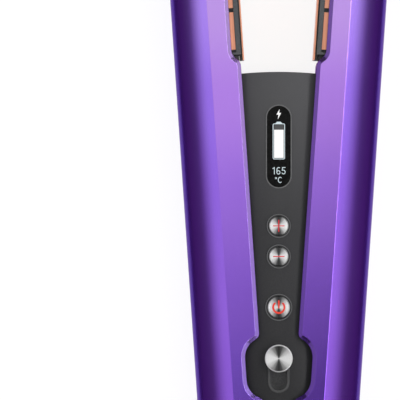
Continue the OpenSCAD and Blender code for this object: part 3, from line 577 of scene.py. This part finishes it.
glyph(text_x + DIGIT_X[0], [[(0.08, TALL - 0.52), (0.6, TALL - 0.12), (0.6, 0.12)]])
glyph(text_x + DIGIT_X[1], [
    arc(BOWL_X, BOWL_R + 0.12, BOWL_R - 0.04, BOWL_R, 0, 360, 20),
    [(0.1, BOWL_R + 0.2), *arc(BOWL_X + 0.1, TALL - 0.82, 0.62, 0.7, 180, 60, 8)]])
glyph(text_x + DIGIT_X[2], [[
    (1.2, TALL - 0.12), (0.26, TALL - 0.12), (0.18, 1.42),
    *arc(0.6, 0.82, 0.58, 0.66, 105, -150, 12)]])
ink.stroke(arc(*seen(276.2, 178.1), 0.24, 0.24, 0, 330, 12), 0.18, closed=True)
ink.stroke(arc(*seen(280.3, 179.9), 0.62, 0.92, 52, 308, 16), PEN)
ink.piece("display_digits", blue, "chassis")

# Marks on the buttons
MARK_T, MARK_PEN = 0.04, 0.33
ACROSS, UP = [(-1.8, 0), (1.8, 0)], [(0, -1.9), (0, 1.9)]
red = printed("mark_red", srgb(222, 22, 38))
for key, lines in (("plus_button", [ACROSS, UP]), ("minus_button", [ACROSS])):
    ink = Ink(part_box(key)[1].z / MM, MARK_T)
    for line in lines:
        ink.stroke([(a, BUTTON_Y[key] + b) for a, b in line], MARK_PEN)
    ink.piece(key + "_mark", red, key)
# Power sign: three quarters of a ring, open at the top, and a bar in the opening
orange = printed("mark_orange", srgb(232, 48, 20))
power_y = BUTTON_Y["power_button"]
POWER_R, RING_PEN, BAR_PEN = 1.92, 0.66, 0.56
ink = Ink(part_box("power_button")[1].z / MM, MARK_T)
ink.stroke(arc(0, power_y, POWER_R, POWER_R, 138, 402, 28), RING_PEN)
ink.stroke([(0, power_y - 0.1), (0, power_y + 2.15)], BAR_PEN)
ink.piece("power_button_mark", orange, "power_button")

# Dust strip at the bottom of the lock's slot, just above the main board
lo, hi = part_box("slot_liner")
FLOOR_R, FLOOR_T, FLOOR_LIFT, FLOOR_END, FLOOR_SIDES = 3.4 * MM, 0.4 * MM, 0.5 * MM, 3.7 * MM, 32
floor_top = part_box("main_board")[1].z + FLOOR_LIFT
reach, mid_y = (hi.y - lo.y) / 2 - FLOOR_END, (hi.y + lo.y) / 2
outline = []
for k in range(FLOOR_SIDES):
    a = 2 * math.pi * (k + 0.5) / FLOOR_SIDES
    end_y = mid_y + (reach if a < math.pi else -reach)
    outline.append((FLOOR_R * math.cos(a), end_y + FLOOR_R * math.sin(a)))
verts = [(x, y, z) for z in (floor_top - FLOOR_T, floor_top) for x, y in outline]
faces = [tuple(reversed(range(FLOOR_SIDES))), tuple(range(FLOOR_SIDES, 2 * FLOOR_SIDES))]
for k in range(FLOOR_SIDES):
    j = (k + 1) % FLOOR_SIDES
    faces.append((k, j, FLOOR_SIDES + j, FLOOR_SIDES + k))
slot_grey = moulded("slot_floor", srgb(120, 120, 122), 0.6)
mesh_piece("slot_floor", verts, faces, slot_grey, "chassis", sharp=30)

# Felt collar that closes the slit between the front ring and the end cap
lo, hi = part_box("front_ring")
ring_r, OVERLAP, SLIT = (hi.x - lo.x) / 2, 0.05 * MM, 0.26 * MM
inner, outer = ring_r - OVERLAP, ring_r + SLIT
low, high = 37.4 * MM, 37.9 * MM
COLLAR_FROM, COLLAR_SWEEP, COLLAR_STEPS = 190, 160, 40
verts, faces = [], []
for k in range(COLLAR_STEPS + 1):
    a = math.radians(COLLAR_FROM + COLLAR_SWEEP * k / COLLAR_STEPS)
    for r, z in ((inner, low), (outer, low), (outer, high), (inner, high)):
        verts.append((r * math.cos(a), HINGE_Y + r * math.sin(a), z))
    if k:
        old, new = 4 * (k - 1), 4 * k
        faces += [(old + j, old + (j + 1) % 4, new + (j + 1) % 4, new + j) for j in range(4)]
faces += [(3, 2, 1, 0), tuple(range(4 * COLLAR_STEPS, 4 * COLLAR_STEPS + 4))]
mesh_piece("ring_collar", verts, faces, MATS["seal_black"], "chassis", smooth=False)

# ---------------------------------------------------------------- the charging lead
CORD_D = 4.6
CORD_R, CORD_SIDES, CORD_STEP = CORD_D / 2 * MM, 16, 3 * MM
# The elbow's leg stands at an angle to the body's axis, and the ribbed relief bends back towards it
LEG_ANGLE, LEG_L, RELIEF_BEND, RELIEF_L = 52.0, 8.9, 11.0, 38.9
CAP_LOW, BOOT_L, LEG_DROP = 22.3, 10.8, 0.2
LEG_TOP = -CAP_LOW - BOOT_L - LEG_DROP
COIL_X, COIL_Y, COIL_R, COIL_PITCH = -20.0, -140.0, 33.7, 5.2
COIL_TURNS, COIL_LAYERS, CLIMB_TURNS, COIL_STEPS = 3, 4, 0.5, 40
COIL_TOTAL = COIL_LAYERS * COIL_TURNS + (COIL_LAYERS - 1) * CLIMB_TURNS
# The way down from the relief to the coil, and the way from the coil's end to the adapter
RUN = (
    (-42.6, -74, 20.2), (-46.5, -79.4, 17.9), (-49.6, -85.3, 14.1), (-51.9, -91.6, 9.2),
    (-53.2, -98.1, 5.4), (-53.7, -104.7, 3.1), (-53.7, -111.4, 2.3), (-53.7, -119.4, 2.3),
    (-53.7, -127.4, 2.3), (-53.7, -135.4, 2.3))
TAIL = (
    (13.7, -135.4, 17.9), (13.7, -130.8, 17.9), (13.8, -123.5, 16.8), (15, -116.3, 13.6),
    (17.6, -109.4, 8.4), (21.3, -103.1, 4.3), (26.1, -97.6, 2.4), (31.6, -92.8, 2.4),
    (36.4, -87.3, 4.3), (40.1, -81, 8.4), (42.7, -74.1, 13.6), (43.9, -66.9, 16.9),
    (44, -59.6, 18), (44, -55, 18))


def relief_end():
    """Where the cord leaves the ribbed relief, and the direction in which it does."""
    before, after = math.radians(LEG_ANGLE), math.radians(LEG_ANGLE - RELIEF_BEND)
    bend_r = RELIEF_L / math.radians(RELIEF_BEND)
    x = -LEG_L * math.sin(before) - bend_r * (math.cos(after) - math.cos(before))
    y = LEG_TOP - LEG_L * math.cos(before) + bend_r * (math.sin(after) - math.sin(before))
    return above(x, y, MID_Z), Vector((-math.sin(after), -math.cos(after), 0))


def coil_point(u):
    """The place u turns along the coil. Its layers are flat spirals, one inward and the next
    outward, and the cord climbs from each to the next in half a turn."""
    cycle = COIL_TURNS + CLIMB_TURNS
    layer = math.floor(u / cycle)
    v = u - layer * cycle
    climbed = max(0.0, (v - COIL_TURNS) / CLIMB_TURNS)
    swing = COIL_PITCH * climbed * (1 - climbed) / 2
    inner, inward = COIL_R - COIL_TURNS * COIL_PITCH, layer % 2 == 0
    if v <= COIL_TURNS:
        r = COIL_R - v * COIL_PITCH if inward else inner + v * COIL_PITCH
    else:
        r = inner - swing if inward else COIL_R + swing
    z = CORD_D / 2 + COIL_PITCH * (layer + climbed * climbed * (3 - 2 * climbed))
    a = 2 * math.pi * u
    return above(COIL_X - r * math.cos(a), COIL_Y - r * math.sin(a), z)


def cord_line():
    """The cord's centre line from the relief to the adapter, never below the table."""
    end, along = relief_end()
    run = [end, end + along * CORD_D * MM, *(above(*p) for p in RUN)]
    last = COIL_TOTAL - 0.0001
    steps = int(COIL_STEPS * COIL_TOTAL)
    coil = [coil_point(min(k / COIL_STEPS, last)) for k in range(steps + 1)]
    tail = [above(*p) for p in TAIL]
    line = smooth_line(run, CORD_STEP)[:-1] + coil + smooth_line(tail, CORD_STEP)
    for p in line:
        p.z = max(p.z, CORD_R)
    return line


CORD_PATH = cord_line()
verts, faces = tube(CORD_PATH, CORD_R, CORD_SIDES)
lead_cord = mesh_piece("lead_cord", verts, faces, MATS["lead_black"], None, sharp=60)
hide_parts("cord_run", "cord_coil", "cord_tail")
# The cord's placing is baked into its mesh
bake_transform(lead_cord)


# ---------------------------------------------------------------- stage
def emptied(owner):
    """The node tree of a world or a material, with nothing in it."""
    owner.use_nodes = True
    owner.node_tree.nodes.clear()
    return owner.node_tree


def sheet(name, corners):
    """A flat piece of the stage, and its material's empty node tree."""
    me = bpy.data.meshes.new(name)
    me.from_pydata([tuple(c) for c in corners], [], [(0, 1, 2, 3)])
    o = bpy.data.objects.new(name, me)
    bpy.context.scene.collection.objects.link(o)
    mat = bpy.data.materials.new(name)
    me.materials.append(mat)
    return o, emptied(mat)


def shader(tree, kind, grey, strength=None):
    """A shader node of one grey, with a strength if it has one."""
    n = tree.nodes.new("ShaderNode" + kind)
    n.inputs["Color"].default_value = (grey, grey, grey, 1)
    if strength is not None:
        n.inputs["Strength"].default_value = strength
    return n


def end_tree(tree, output, unseen, viewed):
    """Ends a node tree in viewed for camera, glossy and transmission rays, else in unseen."""
    path = tree.nodes.new("ShaderNodeLightPath")
    in_view = path.outputs["Is Camera Ray"]
    for name in ("Is Glossy Ray", "Is Transmission Ray"):
        either = tree.nodes.new("ShaderNodeMath")
        either.operation = "MAXIMUM"
        tree.links.new(in_view, either.inputs[0])
        tree.links.new(path.outputs[name], either.inputs[1])
        in_view = either.outputs[0]
    mix = tree.nodes.new("ShaderNodeMixShader")
    for i, socket in enumerate((in_view, unseen.outputs[0], viewed.outputs[0])):
        tree.links.new(socket, mix.inputs[i])
    tree.links.new(mix.outputs[0], tree.nodes.new(output).inputs[0])


# The sky: light grey where it is seen or mirrored, dimmer where it only lights the object
world = bpy.data.worlds.new("world")
bpy.context.scene.world = world
tree = emptied(world)
end_tree(
    tree, "ShaderNodeOutputWorld",
    shader(tree, "Background", 1.0, 0.60), shader(tree, "Background", 0.8, 1.0))

# A floor just under the table: it glows to near white where it is seen, and is plain grey to
# the light that it throws back
FLOOR_HALF, FLOOR_Z = 4, -0.4 * MM
floor, tree = sheet("floor", [
    (FLOOR_HALF * x, FLOOR_HALF * y, FLOOR_Z) for x, y in ((-1, -1), (1, -1), (1, 1), (-1, 1))])
glowing = tree.nodes.new("ShaderNodeAddShader")
for i, n in enumerate((shader(tree, "BsdfDiffuse", 0.19), shader(tree, "Emission", 1.0, 0.87))):
    tree.links.new(n.outputs[0], glowing.inputs[i])
end_tree(tree, "ShaderNodeOutputMaterial", shader(tree, "BsdfDiffuse", 0.75), glowing)
floor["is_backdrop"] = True

# Two long lamps above the sides, which light the object and aren't seen
LAMP_SIZE, LAMP_X, LAMP_Z, LAMP_AIM = (0.12, 1.2), 0.52, 0.83, Vector((0.0, -0.02, 0.03))
for name, x, power in (("key", LAMP_X, 4.0), ("fill", -LAMP_X, 2.2)):
    lamp = bpy.data.lights.new(name, "AREA")
    lamp.shape = "RECTANGLE"
    lamp.size, lamp.size_y = LAMP_SIZE
    lamp.energy = power
    o = bpy.data.objects.new(name, lamp)
    o.location = (x, 0.0, LAMP_Z)
    o.rotation_mode = "QUATERNION"
    o.rotation_quaternion = (o.location - LAMP_AIM).to_track_quat("Z", "Y")
    o.visible_camera = o.visible_glossy = False
    bpy.context.scene.collection.objects.link(o)


def graded_card(name, corners, along=(0, 0, 1), span=(0, 1, 0, 0)):
    """A card seen only in reflections. Its glow runs from span[2] to span[3] as a place, measured
    along a direction, runs from span[0] to span[1]."""
    o, tree = sheet(name, corners)
    place = tree.nodes.new("ShaderNodeTexCoord")
    dot = tree.nodes.new("ShaderNodeVectorMath")
    dot.operation = "DOT_PRODUCT"
    dot.inputs[1].default_value = along
    glow = tree.nodes.new("ShaderNodeMapRange")
    for i, value in enumerate(span):
        glow.inputs[i + 1].default_value = value
    light = shader(tree, "Emission", 1.0)
    out = tree.nodes.new("ShaderNodeOutputMaterial")
    tree.links.new(place.outputs["Object"], dot.inputs[0])
    tree.links.new(dot.outputs["Value"], glow.inputs[0])
    tree.links.new(glow.outputs[0], light.inputs["Strength"])
    tree.links.new(light.outputs[0], out.inputs[0])
    o.visible_camera = o.visible_diffuse = o.visible_shadow = o.visible_transmission = False
    o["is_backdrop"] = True


def at_arm(x, y, z):
    """A point in millimetres from the hinge, turned with the right arm as it stands open."""
    c, s = math.cos(OPEN), math.sin(OPEN)
    return above(x * c + y * s, -x * s + y * c, z)


def upright(x, reach, low, high):
    """The corners of a card that stands along Y."""
    return [(x, -reach, low), (x, reach, low), (x, reach, high), (x, -reach, high)]


# Dark cards on the floor beside the object, from 18 mm outside the arms
FLAG_GLOW = 0.09
FLAG = (at_arm(42, -60, 2), at_arm(42, 330, 2), above(1500, 900, 2), above(1500, -900, 2))
for side, sign in (("right", 1), ("left", -1)):
    graded_card(
        "flag_" + side, [(sign * x, y, z) for x, y, z in FLAG], span=(0, 1, FLAG_GLOW, FLAG_GLOW))

# Upright cards at both sides, darker towards the floor
SIDE_X, SIDE_REACH, SIDE_TOP = 1.0, 1.4, 0.6
for side, x, fade in (
        ("left", -SIDE_X, (0.0, 0.45, 0.26, 1.0)), ("right", SIDE_X, (0.0, 0.50, 0.22, 1.0))):
    graded_card("side_" + side, upright(x, SIDE_REACH, 0, SIDE_TOP), span=fade)

# A bright strip high on the right, which fades to nothing at both edges
STRIP_X, STRIP_REACH, STRIP_GLOW = 0.3, 0.8, 10
for name, low, high, glow in (
        ("strip_low", 0.26, 0.42, (0, STRIP_GLOW)), ("strip_high", 0.42, 0.62, (STRIP_GLOW, 0))):
    graded_card(name, upright(STRIP_X, STRIP_REACH, low, high), span=(low, high, *glow))

# A card overhead, brighter towards the tips and a little to the left
TOP_HALF, TOP_LOW, TOP_HIGH, TOP_Z = 0.09, -0.4, 0.3, 0.16
graded_card("card_top", [
    (-TOP_HALF, TOP_LOW, TOP_Z), (TOP_HALF, TOP_LOW, TOP_Z),
    (TOP_HALF, TOP_HIGH, TOP_Z), (-TOP_HALF, TOP_HIGH, TOP_Z)],
    (-0.7, 1, 0), (-0.10, 0.03, 0.18, 0.97))

# Black cards beyond both ends, which turned metal shows as dark wedges
END_HALF, END_Y, END_LOW, END_HIGH = 0.9, 0.8, -0.001, 1.4
for name, y in (("flag_tips", END_Y), ("flag_tail", -END_Y)):
    graded_card(name, [
        (-END_HALF, y, END_LOW), (END_HALF, y, END_LOW),
        (END_HALF, y, END_HIGH), (-END_HALF, y, END_HIGH)])

lo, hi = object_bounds()
